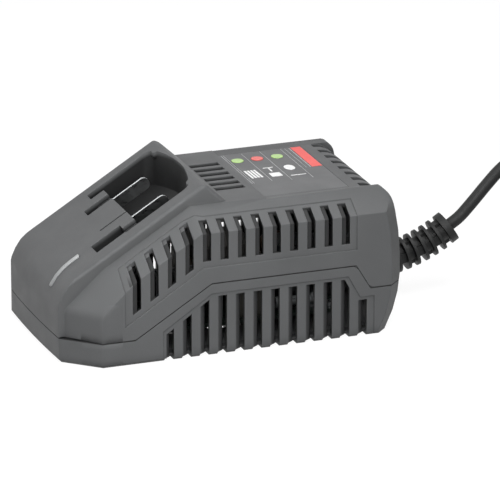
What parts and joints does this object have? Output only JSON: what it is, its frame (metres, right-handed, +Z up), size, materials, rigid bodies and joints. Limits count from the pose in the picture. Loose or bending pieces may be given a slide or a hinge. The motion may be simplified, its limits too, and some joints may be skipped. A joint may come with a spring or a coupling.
{
  "type": "power tool battery charger",
  "caption": "Battery charger with a sloping slide-in dock, two contact blades, vented two-shell housing, status lights and a coiled mains lead with a flat plug.",
  "frame": {"origin": "middle of the housing's base, on the surface that the feet stand on", "axes": "+X from the dock nose to the cord end, +Y to the left seen from behind, +Z up"},
  "size_m": [0.3777, 0.1391, 0.0808],
  "materials": {
    "housing": "satin",
    "label": "satin",
    "light_guide": "clear",
    "light_bar": "satin",
    "terminal": "matte",
    "blade_metal": "bright nickel",
    "steel": "zinc plated",
    "foot_rubber": "matte",
    "board": "solder mask",
    "ferrite": "matte",
    "winding": "taped",
    "capacitor": "sleeved",
    "copper_wire": "enamelled",
    "film": "satin",
    "fuse": "clear",
    "device": "matte",
    "heatsink": "extruded",
    "led": "clear",
    "ribbon": "satin",
    "red_wire": "satin",
    "black_wire": "satin",
    "brown_wire": "satin",
    "blue_wire": "satin",
    "clamp": "matte",
    "cord_rubber": "matte",
    "pin_metal": "bright nickel"
  },
  "bodies": {
    "root": {"lower_shell": "housing", "upper_shell": "housing", "indicator_label": "label", "light_guides": "light_guide", "dock_light_bar": "light_bar", "terminal_block": "terminal", "positive_blade": "blade_metal", "negative_blade": "blade_metal", "housing_screws": "steel", "rubber_feet": "foot_rubber", "main_board": "board", "board_screws": "steel", "transformer_core": "ferrite", "transformer_winding": "winding", "bulk_capacitor": "capacitor", "output_capacitors": "capacitor", "line_choke": "copper_wire", "filter_capacitor": "film", "line_fuse": "fuse", "bridge_rectifier": "device", "primary_heatsink": "heatsink", "secondary_heatsink": "heatsink", "switching_transistor": "device", "output_diode": "device", "indicator_board": "board", "indicator_leds": "led", "ribbon_cable": "ribbon", "positive_lead": "red_wire", "negative_lead": "black_wire", "live_lead": "brown_wire", "neutral_lead": "blue_wire", "inner_cord": "cord_rubber", "cord_clamp": "clamp", "clamp_screws": "steel", "strain_relief": "cord_rubber", "power_cord": "cord_rubber", "cord_coil": "cord_rubber", "cord_tie": "cord_rubber", "plug_lead": "cord_rubber", "plug_body": "cord_rubber", "plug_pins": "pin_metal"}
  },
  "joints": []
}
